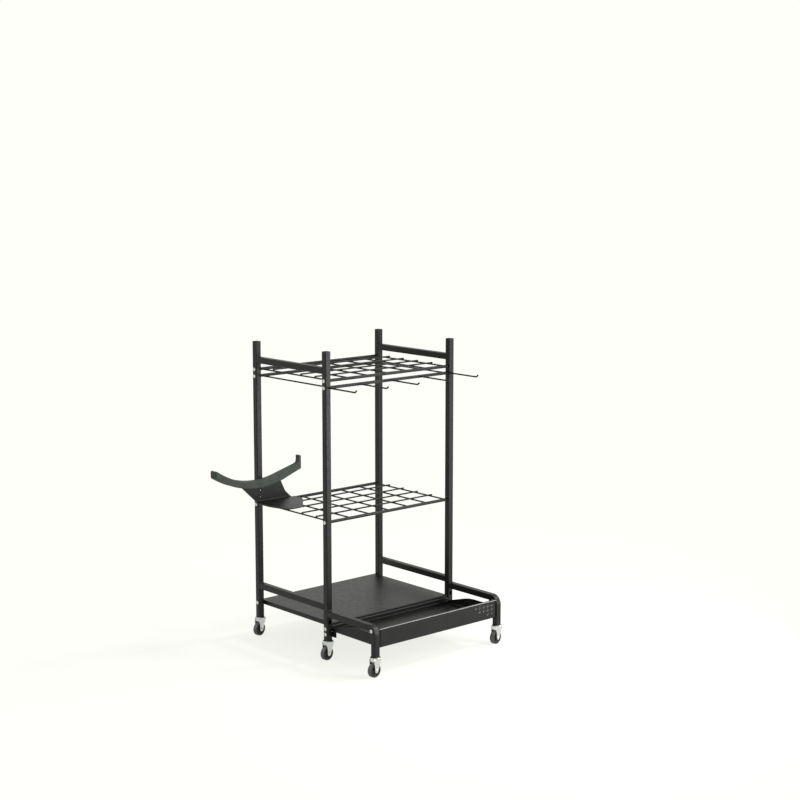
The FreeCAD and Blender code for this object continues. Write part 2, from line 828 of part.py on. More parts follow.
def caster_axle():
    """A riveted pin through both cheeks."""
    outer = fork_outside + axle_head_height
    pin = rod((-fork_trail, -outer, axle_height), (-fork_trail, outer, axle_height), axle_diameter)
    heads = []
    for sign in (-1, 1):
        start = (-fork_trail, sign * fork_outside, axle_height)
        end = (-fork_trail, sign * outer, axle_height)
        head = rod(start, end, axle_head_diameter)
        rim = []
        for edge in head.Edges:
            b = edge.BoundBox
            if abs(b.YMin - sign * outer) < near and b.YLength < near:
                rim.append(edge)
        heads.append(head.makeChamfer(axle_head_bevel, rim))
    return pin.fuse(heads).removeSplitter()


def wheel_profile(points):
    """A face of revolution about the wheel's axle, from (radius, side) pairs."""
    corners = [Vector(-fork_trail + radius, side, axle_height) for radius, side in points]
    face = Part.Face(Part.makePolygon(corners + corners[:1]))
    return face.revolve(Vector(-fork_trail, 0, axle_height), Vector(0, 1, 0), 360)


def caster_wheel():
    """The moulded wheel body: rim, thin web and a hub boss on the axle."""
    bore = axle_diameter / 2.0 + running_clearance
    rim = wheel_diameter / 2.0 - tread_thickness
    side = wheel_width / 2.0
    web = side - hub_recess_depth
    boss = hub_width / 2.0
    half_profile = [
        (bore, boss),
        (hub_recess_inner / 2.0 - hub_recess_slope, boss),
        (hub_recess_inner / 2.0, web),
        (hub_recess_outer / 2.0 - hub_recess_slope, web),
        (hub_recess_outer / 2.0, side),
        (rim, side),
    ]
    mirrored = [(radius, -y) for radius, y in reversed(half_profile)]
    return wheel_profile(half_profile + mirrored)


def caster_tyre():
    """The soft tread around the wheel body."""
    rim = wheel_diameter / 2.0 - tread_thickness
    outer = wheel_diameter / 2.0
    side = wheel_width / 2.0
    half_profile = [(rim, side), (outer - tread_bevel, side), (outer, side - tread_bevel)]
    mirrored = [(radius, -y) for radius, y in reversed(half_profile)]
    return wheel_profile(half_profile + mirrored)


def bracket_screws():
    """The two screws that go through the rear left post from behind, into the bracket."""
    back = rear + half
    grip = tube + bracket_sheet
    return Part.makeCompound([screw((left, back, z), (0, 1, 0), grip) for z in bracket_screw_heights])


def side_screws(places):
    """The same screws in the left and the right side frame."""
    return Part.makeCompound([side_screw(x, y, z, length) for y, z, length in places for x in (left, right)])


def build():
    """Every piece, by the name of its node."""
    sides = (("left", left), ("right", right))
    pieces = {}
    for name, x in sides:
        held = bracket_screw_heights if x == left else ()
        pieces["rear_post_" + name] = post(x, rear, held)
        pieces["middle_post_" + name] = middle_post(x)
        for bar, z in (("top_bar_", top_bar_height), ("lower_bar_", lower_bar_height)):
            pieces[bar + name] = square_tube((x, middle + half, z), (x, rear - half, z))
        pieces["front_leg_" + name] = front_leg(x)
    posts = [(x, y) for y in (middle, rear) for x in (left, right)]
    pieces["post_caps"] = Part.makeCompound([post_cap(x, y) for x, y in posts])
    pieces["crossbar"] = crossbar()
    tiers = (
        ("upper_rail", upper_rail_height),
        ("lower_rail", lower_rail_height),
        ("middle_rail", middle_rail_height),
    )
    for name, z in tiers:
        pieces[name + "_front"] = round_rail(middle, z)
        pieces[name + "_rear"] = round_rail(rear, z)
    for name, z in (("top", upper_rail_height), ("middle", middle_rail_height)):
        pieces[name + "_depth_wires"] = depth_wires(z)
        pieces[name + "_cross_wires"] = cross_wires(z)
    pieces["lower_side_wires"] = lower_side_wires()
    pieces["hook_prongs"] = hook_prongs()
    pieces["rear_shelf"] = rear_shelf()
    pieces["front_tray"] = front_tray()
    pieces["tool_bracket"] = tool_bracket()
    pieces["cradle_pad"] = cradle_pad()
    pieces["rail_screws"] = side_screws([(y, z, rail_screw_length) for y, z in rail_places])
    pieces["base_screws"] = side_screws(base_places)
    pieces["bracket_screws"] = bracket_screws()
    pieces["caster_stems"] = Part.makeCompound([caster_stem(x, y) for _, x, y, _ in casters])
    pieces["caster_sockets"] = Part.makeCompound([caster_socket(x, y) for _, x, y, _ in casters])
    makers = (("fork", caster_fork), ("axle", caster_axle), ("wheel", caster_wheel), ("tyre", caster_tyre))
    for name, x, y, heading in casters:
        for piece, make in makers:
            pieces[name + "_" + piece] = at_caster(make(), x, y, heading)
    return pieces


def main():
    """Set the origin under the middle of the bounding box and write every node."""
    os.makedirs("parts", exist_ok=True)
    pieces = build()
    bounds = FreeCAD.BoundBox()
    for shape in pieces.values():
        bounds.add(shape.optimalBoundingBox(False, False))
    origin = Vector(bounds.Center.x, bounds.Center.y, bounds.ZMin)
    for name, shape in pieces.items():
        shape.translate(origin * -1)
        shape.exportStep("parts/" + name + ".step")
    print("box", round(bounds.XLength, 3), round(bounds.YLength, 3), round(bounds.ZLength, 3))
    print("origin in the leg frame", round(origin.x, 3), round(origin.y, 3), round(origin.z, 3))
    for name, x, y, heading in casters:
        turn = math.radians(heading)
        swivel = Vector(x, y, 0) - origin
        spin = swivel + Vector(-fork_trail * math.cos(turn), fork_trail * math.sin(turn), axle_height)
        axis = (math.sin(turn), math.cos(turn))
        print(name, "swivel", [round(v, 4) for v in swivel], "axle", [round(v, 4) for v in spin], axis)


main()
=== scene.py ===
import json
import math
import bmesh
import bpy
from mathutils import Matrix, Vector

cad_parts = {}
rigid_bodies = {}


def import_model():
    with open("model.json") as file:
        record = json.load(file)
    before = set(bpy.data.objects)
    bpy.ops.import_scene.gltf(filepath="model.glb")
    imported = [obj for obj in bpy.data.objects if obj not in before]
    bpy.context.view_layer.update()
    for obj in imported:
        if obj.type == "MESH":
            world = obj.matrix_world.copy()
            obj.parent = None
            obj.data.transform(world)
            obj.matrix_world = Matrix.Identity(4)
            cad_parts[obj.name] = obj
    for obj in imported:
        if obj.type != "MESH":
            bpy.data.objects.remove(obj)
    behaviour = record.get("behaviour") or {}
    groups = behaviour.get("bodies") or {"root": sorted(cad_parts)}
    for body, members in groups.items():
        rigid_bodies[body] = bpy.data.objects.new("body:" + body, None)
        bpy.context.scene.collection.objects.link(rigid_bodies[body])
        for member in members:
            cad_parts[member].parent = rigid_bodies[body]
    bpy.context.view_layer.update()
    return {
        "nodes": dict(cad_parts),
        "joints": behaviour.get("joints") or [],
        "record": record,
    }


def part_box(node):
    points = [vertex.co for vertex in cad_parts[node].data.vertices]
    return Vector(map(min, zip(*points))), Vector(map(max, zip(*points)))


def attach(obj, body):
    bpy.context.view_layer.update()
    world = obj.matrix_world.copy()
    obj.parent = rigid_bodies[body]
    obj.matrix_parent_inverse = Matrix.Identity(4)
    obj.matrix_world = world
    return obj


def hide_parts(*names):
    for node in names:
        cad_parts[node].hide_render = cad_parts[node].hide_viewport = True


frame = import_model()
print("frame loaded:", len(frame["nodes"]), "nodes")

mm = 0.001
samePoint = 0.001 * mm  # points closer than this are one point
sameLength = 0.01 * mm  # lengths closer than this are the same
onPlane = 0.1 * mm  # a point closer than this to a plane lies on it


def toLinear(hexColour):
    # sRGB hex to the linear colour that a shader takes
    channels = [int(hexColour[i:i + 2], 16) / 255 for i in (1, 3, 5)]
    linear = [c / 12.92 if c <= 0.04045 else ((c + 0.055) / 1.055) ** 2.4 for c in channels]
    return (*linear, 1.0)


def addNode(tree, kind, settings=None, links=None):
    # settings are the node's own properties or its sockets' values, links go into its sockets
    node = tree.nodes.new("ShaderNode" + kind)
    for name, value in (settings or {}).items():
        if isinstance(name, str) and name not in node.inputs:
            setattr(node, name, value)
        else:
            node.inputs[name].default_value = value
    for name, source in (links or {}).items():
        tree.links.new(source, node.inputs[name])
    return node


def newMaterial(name):
    material = bpy.data.materials.new(name)
    material.use_nodes = True
    tree = material.node_tree
    shader = tree.nodes["Principled BSDF"]
    place = addNode(tree, "TexCoord").outputs["Object"]
    return material, tree, shader, place


# Nearly all of a noise's values lie between these two; a cloud has more detail than a grain
noise = {"lowest": 0.3, "highest": 0.7, "detail": 2, "cloudDetail": 4}


def spread(tree, place, size, low, high, detail=noise["detail"]):
    # a soft noise of that grain size in metres, stretched to run from low to high
    soft = addNode(tree, "TexNoise", {"Scale": 1 / size, "Detail": detail}, {"Vector": place})
    limits = {"From Min": noise["lowest"], "From Max": noise["highest"], "To Min": low, "To Max": high}
    return addNode(tree, "MapRange", limits, {"Value": soft.outputs["Fac"]}).outputs["Result"]


def twoColours(tree, share, first, second):
    ends = {"data_type": "RGBA", 6: toLinear(first), 7: toLinear(second)}
    return addNode(tree, "Mix", ends, {0: share}).outputs[2]


def paintedLight(tree):
    # the attribute says how much painted light a face takes, from 0 to 1: a painted highlight on the
    # sheets' edges, and on the treads the lit running face against the painted shade of their sides
    return addNode(tree, "Attribute", {"attribute_name": "painted_light"}).outputs["Fac"]


def addBump(tree, shader, height, strength, distance):
    bump = addNode(tree, "Bump", {"Strength": strength, "Distance": distance}, {"Height": height})
    tree.links.new(bump.outputs["Normal"], shader.inputs["Normal"])


# Powder coat: polyester powder baked on steel. It flows into a satin skin with a fine
# orange peel, a shade uneven on flat faces. Its marked edges and hole walls take a painted
# highlight, pale in patches, for the light that their rounded edges catch.
powder = {
    "dark": "#111111",
    "light": "#1a1a19",
    "cloud": 45 * mm,
    # painted highlight: the pale colour that the marked edges and hole walls take
    "paintedLight": "#d2d2cd",
    "highlightPatch": 9 * mm,
    "leastHighlight": 0.6,
    "rough": (0.38, 0.46),
    "roughCloud": 4,  # in peels
    "gloss": 0.27,  # the resin is filled with pigment, so it mirrors less than clear lacquer
    "peel": 2.2 * mm,  # drawn coarser than the real 1 mm, so that it shows
    "peelStrength": 0.25,
    "peelHeight": 0.12 * mm,
}


def powderCoat():
    material, tree, shader, place = newMaterial("satinPowderCoat")
    cloud = spread(tree, place, powder["cloud"], 0, 1, noise["cloudDetail"])
    coat = twoColours(tree, cloud, powder["dark"], powder["light"])
    # painted highlight: the marked faces turn pale, in patches
    highlightPatches = spread(tree, place, powder["highlightPatch"], powder["leastHighlight"], 1, noise["cloudDetail"])
    highlightShare = addNode(tree, "Math", {"operation": "MULTIPLY"}, {0: paintedLight(tree), 1: highlightPatches})
    highlightColour = {"data_type": "RGBA", 7: toLinear(powder["paintedLight"])}
    colour = addNode(tree, "Mix", highlightColour, {0: highlightShare.outputs[0], 6: coat})
    tree.links.new(colour.outputs[2], shader.inputs["Base Color"])
    rough = spread(tree, place, powder["peel"] * powder["roughCloud"], *powder["rough"])
    tree.links.new(rough, shader.inputs["Roughness"])
    shader.inputs["Specular IOR Level"].default_value = powder["gloss"]
    peel = spread(tree, place, powder["peel"], 0, 1)
    addBump(tree, shader, peel, powder["peelStrength"], powder["peelHeight"])
    return material


# Bright zinc: electroplated and clear passivated pressed steel. It mirrors softly, with
# faint blue and straw clouds and the die's fine drag lines. The screws are a little duller.
zinc = {
    "cool": "#c6ccd2",
    "warm": "#d2cfc6",
    "cloud": 7 * mm,
    "cloudDetail": 3,
    "rough": (0.2, 0.34),
    "roughFiner": 3,  # the roughness changes in clouds that many times finer
    "screwDuller": 0.06,
    "drag": 0.9 * mm,  # drawn coarser than the real lines
    "dragStretch": 0.15,
    "dragStrength": 0.3,
    "dragHeight": 0.02 * mm,
}


def brightZinc(name, duller):
    material, tree, shader, place = newMaterial(name)
    cloud = spread(tree, place, zinc["cloud"], 0, 1, zinc["cloudDetail"])
    tree.links.new(twoColours(tree, cloud, zinc["cool"], zinc["warm"]), shader.inputs["Base Color"])
    low, high = zinc["rough"]
    rough = spread(tree, place, zinc["cloud"] / zinc["roughFiner"], low + duller, high + duller)
    tree.links.new(rough, shader.inputs["Roughness"])
    stretch = addNode(tree, "Mapping", {"Scale": (1, 1, zinc["dragStretch"])}, {"Vector": place})
    drag = spread(tree, stretch.outputs["Vector"], zinc["drag"], 0, 1)
    addBump(tree, shader, drag, zinc["dragStrength"], zinc["dragHeight"])
    shader.inputs["Metallic"].default_value = 1.0
    return material


# Moulded polypropylene: black, from a fine spark-eroded mould, so it is dull with a soft grain
plastic = {
    "dark": "#151516",
    "light": "#1c1c1d",
    "grain": 0.9 * mm,
    "rough": (0.46, 0.58),
    "grainHeight": 0.05 * mm,
}

# Moulded nylon of the wheel bodies: smoother than the caps and a little glossy
nylon = {
    "dark": "#121213",
    "light": "#1b1c1d",
    "grain": 1.4 * mm,
    "rough": (0.3, 0.4),
    "grainHeight": 0.02 * mm,
}

# Thermoplastic rubber of the treads: dull, grey on the running face, lightened there as painted light,
# and near-black on the sides as painted shade
rubber = {
    "side": "#1d1e20",
    "dark": "#7a7b7d",
    "light": "#97989a",
    "grain": 1.1 * mm,
    "rough": (0.58, 0.75),
    "grainHeight": 0.06 * mm,
}

# Skinned foam rubber of the cradle's pad: closed, dull, a little dusty, paler than the steel, with a
# green cast that is a painted reflection of the green machine above it
padRubberGreenReflection = {
    "dark": "#3f463f",
    "light": "#4f5750",
    "grain": 1.6 * mm,
    "rough": (0.6, 0.78),
    "grainHeight": 0.08 * mm,
}

# All moulded finishes: how strongly the grain shows, and the size of its clouds in grains
mould = {"strength": 0.3, "cloud": 9, "roughCloud": 3}


def moulded(name, kind):
    material, tree, shader, place = newMaterial(name)
    cloud = spread(tree, place, kind["grain"] * mould["cloud"], 0, 1, noise["cloudDetail"])
    colour = twoColours(tree, cloud, kind["dark"], kind["light"])
    # the side colour is painted shade on the treads' sides; the painted-light share keeps the running
    # face grey
    if "side" in kind:
        side = {"data_type": "RGBA", 6: toLinear(kind["side"])}
        colour = addNode(tree, "Mix", side, {0: paintedLight(tree), 7: colour}).outputs[2]
    tree.links.new(colour, shader.inputs["Base Color"])
    rough = spread(tree, place, kind["grain"] * mould["roughCloud"], *kind["rough"])
    tree.links.new(rough, shader.inputs["Roughness"])
    grain = spread(tree, place, kind["grain"], 0, 1)
    addBump(tree, shader, grain, mould["strength"], kind["grainHeight"])
    return material


finishes = {
    "powder_coat": powderCoat(),
    "zinc_plate": brightZinc("brightZincPlate", 0.0),
    "zinc_screw": brightZinc("zincScrewSteel", zinc["screwDuller"]),
    "black_plastic": moulded("blackPolypropylene", plastic),
    "wheel_plastic": moulded("blackNylon", nylon),
    "tread": moulded("greyTreadRubber", rubber),
    "pad": moulded("foamRubberPad", padRubberGreenReflection),
}
slotOf = {part["node"]: part["material_slot"] for part in frame["record"]["subparts"]}
for nodeName, node in frame["nodes"].items():
    node.data.materials.clear()
    node.data.materials.append(finishes[slotOf[nodeName]])
print("materials made:", len(finishes))


def newPiece(name, bm, slotName, body, replaced, sharpAngle):
    mesh = bpy.data.meshes.new(name)
    bm.to_mesh(mesh)
    bm.free()
    mesh.materials.append(finishes[slotName])
    mesh.shade_smooth()
    mesh.set_sharp_from_angle(angle=math.radians(sharpAngle))
    piece = bpy.data.objects.new(name, mesh)
    bpy.context.scene.collection.objects.link(piece)
    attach(piece, body)
    if replaced:
        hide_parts(*replaced)
    return piece


def solidBoxes(nodeName):
    # the lowest and highest corner of each separate solid in a node, in a steady order
    bm = bmesh.new()
    bm.from_mesh(frame["nodes"][nodeName].data)
    bmesh.ops.remove_doubles(bm, verts=bm.verts, dist=samePoint)
    waiting = set(bm.verts)
    boxes = []
    while waiting:
        reached = [waiting.pop()]
        for vert in reached:
            for edge in vert.link_edges:
                other = edge.other_vert(vert)
                if other in waiting:
                    waiting.remove(other)
                    reached.append(other)
        low = Vector([min(vert.co[i] for vert in reached) for i in range(3)])
        high = Vector([max(vert.co[i] for vert in reached) for i in range(3)])
        boxes.append((low, high))
    bm.free()
    return sorted(boxes, key=lambda box: [round(value, 6) for value in box[0]])


def mirrored(upper):
    # a turned profile's upper half, followed by its lower half
    return upper + [(radius, -height) for radius, height in reversed(upper)]


def spun(profile, steps):
    # a closed turned shape about Z from (radius, height) points, its poles merged
    bm = bmesh.new()
    verts = [bm.verts.new((radius * mm, 0, height * mm)) for radius, height in profile]
    edges = [bm.edges.new(pair) for pair in zip(verts, verts[1:])]
    full = {"cent": (0, 0, 0), "axis": (0, 0, 1), "angle": math.tau, "steps": steps, "use_merge": True}
    bmesh.ops.spin(bm, geom=verts + edges, **full)
    bmesh.ops.remove_doubles(bm, verts=bm.verts, dist=samePoint)
    bmesh.ops.recalc_face_normals(bm, faces=bm.faces)
    return bm


def roundOver(bm, edges, width, segments):
    # rounds those edges and returns the new faces
    amount = {"offset": width * mm, "segments": segments, "profile": 0.5}
    return bmesh.ops.bevel(bm, geom=edges, affect="EDGES", material=-1, **amount)["faces"]


def softenEdges(bm, width, segments, sharperThan=30):
    # rounds every edge whose faces turn by more than that many degrees
    limit = math.radians(sharperThan)
    joined = [edge for edge in bm.edges if len(edge.link_faces) == 2]
    roundOver(bm, [edge for edge in joined if edge.calc_face_angle() > limit], width, segments)


def stamp(bm, shape, place):
    # adds a copy of a template at its place and keeps the template
    mesh = bpy.data.meshes.new("template")
    shape.to_mesh(mesh)
    mesh.transform(place)
    bm.from_mesh(mesh)
    bpy.data.meshes.remove(mesh)


def placed(place, direction):
    # turns a template's Z to a direction and moves it to a place
    return Matrix.Translation(place) @ direction.to_track_quat("Z", "Y").to_matrix().to_4x4()


# Button-head screws: a domed head with a hexagon socket on a plain shank
buttonHead = {
    "width": 9.5,
    "height": 2.8,
    "seatBevel": 0.15,
    "rim": 0.7,
    "domeSteps": 6,
    "domeEnd": 1.12,  # in radii of the socket's corners: a small flat is left round it
    "shank": 5.0,
    "tipBevel": 0.5,
    "keyWidth": 3.0,
    "keyDepth": 1.6,
    "keyBevel": 0.12,
    "keyPoint": 0.3,
    "steps": 24,  # a whole number of steps falls on each side of the hexagon
    "sharp": 40,
    "bracketShort": 2.6,  # the bracket's screws stop short, so no tips show on its neck
}


def screwTemplate(grip):
    head, shank = buttonHead["width"] / 2, buttonHead["shank"] / 2
    rim, crown = buttonHead["rim"], buttonHead["height"]
    seat, bevel = buttonHead["seatBevel"], buttonHead["tipBevel"]
    corner = buttonHead["keyWidth"] / math.sqrt(3)
    floor = crown - buttonHead["keyDepth"]
    profile = [(0, -grip), (shank - bevel, -grip), (shank, bevel - grip), (shank, 0)]
    profile += [(head - seat, 0), (head, seat)]
    last = math.acos(corner * buttonHead["domeEnd"] / head)
    for step in range(buttonHead["domeSteps"] + 1):
        turn = last * step / buttonHead["domeSteps"]
        rise = (crown - rim) * math.sin(turn) / math.sin(last)
        profile.append((head * math.cos(turn), rim + rise))
    profile += [(corner, crown - buttonHead["keyBevel"]), (corner, floor)]
    profile.append((0, floor - buttonHead["keyPoint"]))
    bm = spun(profile, buttonHead["steps"])
    # the two rings at the socket's corner radius are drawn in to its hexagon
    sixth = math.tau / 6
    for vert in bm.verts:
        if abs(vert.co.xy.length - corner * mm) < sameLength:
            sector = math.atan2(vert.co.y, vert.co.x) % sixth - sixth / 2
            vert.co.xy *= buttonHead["keyWidth"] / 2 / math.cos(sector) / corner
    return bm


def makeScrews():
    middle = (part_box("rear_post_left")[0].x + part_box("rear_post_right")[1].x) / 2
    for nodeName in ("rail_screws", "base_screws", "bracket_screws"):
        bm = bmesh.new()
        for low, high in solidBoxes(nodeName):
            centre = (low + high) / 2
            if nodeName == "bracket_screws":
                outward, length = Vector((0, 1, 0)), high.y - low.y
                short = buttonHead["bracketShort"]
            else:
                outward, length = Vector((math.copysign(1, centre.x - middle), 0, 0)), high.x - low.x
                short = 0
            template = screwTemplate(length / mm - buttonHead["height"] - short)
            seat = centre + outward * (length / 2 - buttonHead["height"] * mm)
            stamp(bm, template, placed(seat, outward))
            template.free()
        newPiece(nodeName + "_domed", bm, "zinc_screw", "rack", (nodeName,), buttonHead["sharp"])


# Post caps: moulded plugs with a slightly crowned square head and a skirt down in the tube
cap = {
    "head": 2.0,
    "corner": 2.0,
    "cornerSegments": 4,
    "rim": 0.8,
    "rimSegments": 3,
    "crown": 0.35,
    "inset": 2.6,
    "skirtInset": 1.25,
    "sharp": 40,
}


def makeCaps():
    bm = bmesh.new()
    head, crown = cap["head"] * mm, cap["crown"] * mm
    thick = (cap["head"] - cap["crown"]) * mm
    for low, high in solidBoxes("post_caps"):
        one = bmesh.new()
        side = high.x - low.x
        bmesh.ops.create_cube(one, size=1)
        bmesh.ops.scale(one, vec=(side, side, thick), verts=one.verts)
        upright = []
        for edge in one.edges:
            start, end = edge.verts
            if abs(start.co.z - end.co.z) > thick / 2:
                upright.append(edge)
        roundOver(one, upright, cap["corner"], cap["cornerSegments"])
        top = max(one.faces, key=lambda face: face.calc_center_median().z)
        roundOver(one, list(top.edges), cap["rim"], cap["rimSegments"])
        top = max(one.faces, key=lambda face: face.calc_center_median().z)
        bmesh.ops.inset_region(one, faces=[top], thickness=cap["inset"] * mm, depth=0)
        bmesh.ops.translate(one, vec=(0, 0, crown), verts=top.verts)
        bottom = min(one.faces, key=lambda face: face.calc_center_median().z)
        bmesh.ops.inset_region(one, faces=[bottom], thickness=cap["skirtInset"] * mm, depth=0)
        bmesh.ops.translate(one, vec=(0, 0, low.z - high.z + head), verts=bottom.verts)
        middle = ((low.x + high.x) / 2, (low.y + high.y) / 2)
        stamp(bm, one, Matrix.Translation(Vector((*middle, high.z - crown - thick / 2))))
        one.free()
    newPiece("post_caps_crowned", bm, "black_plastic", "rack", ("post_caps",), cap["sharp"])


# Sheet metal. The tray's front is rolled over along its top, and its punched holes are
# eased; the rolled edge and the holes' walls and rims are painted pale as a highlight. The
# shelf and the bracket are eased along all their cut edges, as a press and a coat of powder
# leave them, apart from the screws' holes, and those eased edges take a fainter painted highlight.
easing = {
    "flatter": 0.5,  # degrees: faces that turn by less are one face
    "cornerFrom": 60,  # degrees: an edge that turns outward by more is a corner
    "across": 0.1,  # a normal with less than this along a direction stands across it
    "facing": 0.5,  # a normal with more than this along a direction faces that way
    "largestWall": 4.0,  # square millimetres
    "frontSheet": 3.0,
    "frontEdge": 1.0,
    "rim": 0.5,
    "rimSegments": 2,
    "rolled": 2.4,
    "rolledSegments": 6,
    "eased": 0.3,
    "easedSegments": 2,
    # how much painted highlight the eased edges take
    "easedHighlight": 0.4,
    "drilledReach": 1.0,
    "sharp": 50,
    "weight": 100,  # how far the largest faces lead the normals, at its most
}


def sheetCopy(nodeName):
    bm = bmesh.new()
    bm.from_mesh(frame["nodes"][nodeName].data)
    bmesh.ops.remove_doubles(bm, verts=bm.verts, dist=samePoint)
    limit = math.radians(easing["flatter"])
    bmesh.ops.dissolve_limit(bm, angle_limit=limit, verts=bm.verts, edges=bm.edges)
    return bm


def isCorner(edge):
    limit = math.radians(easing["cornerFrom"])
    return len(edge.link_faces) == 2 and edge.calc_face_angle_signed() > limit


def isDrilled(edge, screws):
    # an edge of a screw's hole lies inside the box round that screw
    spot = (edge.verts[0].co + edge.verts[1].co) / 2
    reach = easing["drilledReach"] * mm
    return any(all(low[i] - reach < spot[i] < high[i] + reach for i in range(3)) for low, high in screws)


def flatFaces(piece):
    # the large flat faces set the normals, so a rounded edge doesn't shade them
    weighted = piece.modifiers.new("flatFaces", "WEIGHTED_NORMAL")
    weighted.keep_sharp = True
    weighted.weight = easing["weight"]


def makeTray():
    low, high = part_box("front_tray")
    bm = sheetCopy("front_tray")
    paintedLightLayer = bm.faces.layers.float.new("painted_light")
    # the punched holes' walls are the small faces that stand across the front sheet
    across, largest = easing["across"], easing["largestWall"] * mm * mm
    behind = low.y + easing["frontSheet"] * mm
    walls = [face for face in bm.faces if abs(face.normal.y) < across and face.calc_area() < largest]
    walls = [face for face in walls if all(vert.co.y < behind for vert in face.verts)]
    rims = []
    # the hole walls and rims take the painted highlight, so the holes show as light dots
    for face in walls:
        face[paintedLightLayer] = 1.0
        rims += [edge for edge in face.edges if all(vert.co.y < low.y + onPlane for vert in edge.verts)]
    for face in roundOver(bm, rims, easing["rim"], easing["rimSegments"]):
        face[paintedLightLayer] = 1.0
    # the front's top edge, outside, from the left corner to the right one
    rolled = []
    for edge in bm.edges:
        onTop = all(vert.co.z > high.z - onPlane for vert in edge.verts)
        onFront = any(vert.co.y < low.y + easing["frontEdge"] * mm for vert in edge.verts)
        upright = [face.normal for face in edge.link_faces if abs(face.normal.z) < across]
        outside = any(normal.y < -easing["facing"] for normal in upright)
        if onTop and onFront and outside and isCorner(edge):
            rolled.append(edge)
    # the rolled edge takes the painted highlight, a pale line along the tray's top
    for face in roundOver(bm, rolled, easing["rolled"], easing["rolledSegments"]):
        face[paintedLightLayer] = 1.0
    print("tray front:", len(walls), "hole walls,", len(rims), "rims,", len(rolled), "rolled")
    tray = newPiece("front_tray_rolled", bm, "powder_coat", "rack", ("front_tray",), easing["sharp"])
    flatFaces(tray)


def makeEasedSheets():
    screws = solidBoxes("bracket_screws") + solidBoxes("base_screws")
    for nodeName in ("tool_bracket", "rear_shelf"):
        bm = sheetCopy(nodeName)
        paintedLightLayer = bm.faces.layers.float.new("painted_light")
        cut = [edge for edge in bm.edges if isCorner(edge) and not isDrilled(edge, screws)]
        # the eased edges take a fainter painted highlight
        for face in roundOver(bm, cut, easing["eased"], easing["easedSegments"]):
            face[paintedLightLayer] = easing["easedHighlight"]
        bmesh.ops.dissolve_degenerate(bm, dist=sameLength, edges=bm.edges)
        print(nodeName, "eased along", len(cut), "edges")
        sheet = newPiece(nodeName + "_eased", bm, "powder_coat", "rack", (nodeName,), easing["sharp"])
        flatFaces(sheet)


# The cradle's pad: a moulded strip of foam rubber, its edges rounded by the mould
pad = {"round": 0.3, "segments": 2, "sharperThan": 35, "sharp": 50}


def makePad():
    bm = sheetCopy("cradle_pad")
    softenEdges(bm, pad["round"], pad["segments"], pad["sharperThan"])
    piece = newPiece("cradle_pad_moulded", bm, "pad", "rack", ("cradle_pad",), pad["sharp"])
    flatFaces(piece)


# Welds: a rippled bead on each seam of the tube frame, a small squeezed nugget at each
# crossing and end of the wires and at the root of each prong
weld = {
    "radius": 1.5,
    "proud": 0.45,
    "sides": 8,
    "tip": 0.5,
    "ripple": 1.5,
    "rippleDepth": 0.16,
    "beadSharp": 50,
    "nugget": (2.3, 2.3, 1.0),
    "nuggetSharp": 60,
}


def addBead(bm, start, end, radius):
    run = end - start
    rings = 2 * max(2, round(run.length / (weld["ripple"] * mm)))
    size = weld["tip"]
    lid = {"segments": weld["sides"], "radius": radius * size, "cap_ends": True}
    verts = bmesh.ops.create_circle(bm, matrix=placed(start, run), **lid)["verts"]
    edges = list(dict.fromkeys(edge for vert in verts for edge in vert.link_edges))
    for ring in range(1, rings + 1):
        grown = bmesh.ops.extrude_edge_only(bm, edges=edges)["geom"]
        verts = [item for item in grown if isinstance(item, bmesh.types.BMVert)]
        edges = [item for item in grown if isinstance(item, bmesh.types.BMEdge)]
        bmesh.ops.translate(bm, vec=run / rings, verts=verts)
        wanted = weld["tip"] if ring == rings else 1 - weld["rippleDepth"] * (ring % 2)
        centre = start + run * ring / rings
        scale = [wanted / size] * 3
        bmesh.ops.scale(bm, vec=scale, space=Matrix.Translation(-centre), verts=verts)
        size = wanted
    bmesh.ops.edgeloop_fill(bm, edges=edges)


def makeTubeWelds():
    bm = bmesh.new()
    radius, proud = weld["radius"] * mm, weld["proud"] * mm
    for bar in ("top_bar", "lower_bar", "front_leg"):
        for side in ("left", "right"):
            low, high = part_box(bar + "_" + side)
            bottom, ends = low.z, (low.y, high.y)
            if bar == "front_leg":
                # only the bent leg's rear end is welded, and its tube is square
                bottom, ends = high.z - (high.x - low.x), (high.y,)
            for y in ends:
                for x in (low.x + radius - proud, high.x - radius + proud):
                    addBead(bm, Vector((x, y, bottom + radius)), Vector((x, y, high.z - radius)), radius)
                for z in (bottom, high.z):
                    addBead(bm, Vector((low.x + radius, y, z)), Vector((high.x - radius, y, z)), radius)
    newPiece("tubeWelds", bm, "powder_coat", "rack", (), weld["beadSharp"])


def makeWireWelds():
    along = Vector((0, 1, 0))
    bm = bmesh.new()
    nugget = bmesh.new()
    bmesh.ops.create_icosphere(nugget, subdivisions=2, radius=1)
    bmesh.ops.scale(nugget, vec=[size * mm for size in weld["nugget"]], verts=nugget.verts)
    for tier in ("top", "middle"):
        depthWires = solidBoxes(tier + "_depth_wires")
        for crossLow, crossHigh in solidBoxes(tier + "_cross_wires"):
            for low, high in depthWires:
                spot = Vector(((low.x + high.x) / 2, (crossLow.y + crossHigh.y) / 2, high.z))
                stamp(bm, nugget, Matrix.Translation(spot))
    for nodeName in ("top_depth_wires", "middle_depth_wires", "lower_side_wires"):
        for low, high in solidBoxes(nodeName):
            centre = (low + high) / 2
            for y in (low.y, high.y):
                stamp(bm, nugget, placed(Vector((centre.x, y, centre.z)), along))
    for low, high in solidBoxes("hook_prongs"):
        spot = Vector(((low.x + high.x) / 2, high.y, low.z + (high.x - low.x) / 2))
        stamp(bm, nugget, placed(spot, along))
    nugget.free()
    newPiece("wireWelds", bm, "powder_coat", "rack", (), weld["nuggetSharp"])


